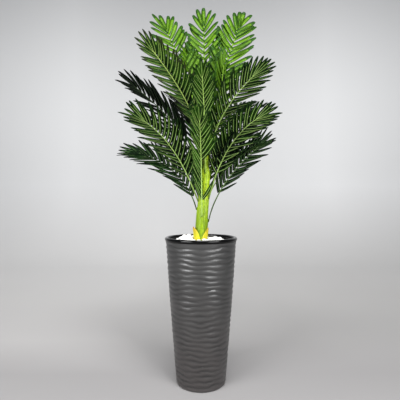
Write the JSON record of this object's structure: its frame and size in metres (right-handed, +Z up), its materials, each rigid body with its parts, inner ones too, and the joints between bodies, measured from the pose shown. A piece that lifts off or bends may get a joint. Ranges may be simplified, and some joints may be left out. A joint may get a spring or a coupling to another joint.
{
  "type": "artificial potted areca palm",
  "caption": "Artificial areca palm: feather fronds in tiers round a green sheathed trunk, set in white pebbles in a tall tapered planter with a rippled wall.",
  "frame": {"origin": "middle of the pot's flat underside, on the floor", "axes": "+Z up from the floor to the crown, -Y to the front, +X to the right seen from the front"},
  "size_m": [0.6904, 0.6962, 1.6501],
  "materials": {
    "planter": "satin",
    "filler": "matte",
    "pebbles": "matte",
    "sheath": "satin",
    "husk": "satin",
    "leaf_dark": "satin",
    "leaf_light": "satin"
  },
  "bodies": {
    "root": {"pot": "planter", "filling": "filler", "pebble_bed": "pebbles", "trunk": "sheath", "bract_left": "husk", "bract_right": "husk", "bract_back": "husk", "frond_front_low": "leaf_dark", "frond_low_right": "leaf_dark", "frond_low_left": "leaf_dark", "frond_foot_right": "leaf_dark", "frond_foot_left": "leaf_dark", "frond_front_mid": "leaf_dark", "frond_up_right": "leaf_dark", "frond_up_left": "leaf_dark", "frond_mid_left": "leaf_dark", "frond_top_mid": "leaf_light", "frond_top_left": "leaf_light", "frond_top_right": "leaf_light", "frond_top_inner": "leaf_light", "frond_top_back": "leaf_light", "frond_top_side": "leaf_light", "frond_left_rear": "leaf_dark", "frond_rear_upper": "leaf_dark", "frond_mid_right": "leaf_dark", "frond_rear_right": "leaf_dark", "frond_rear_mid": "leaf_dark", "frond_low_rear_right": "leaf_dark", "frond_low_rear": "leaf_dark", "frond_low_rear_left": "leaf_dark", "frond_side_right": "leaf_dark", "frond_side_left": "leaf_dark", "frond_side_upper": "leaf_dark", "frond_fore_right": "leaf_dark", "frond_fore_left": "leaf_dark"}
  },
  "joints": []
}
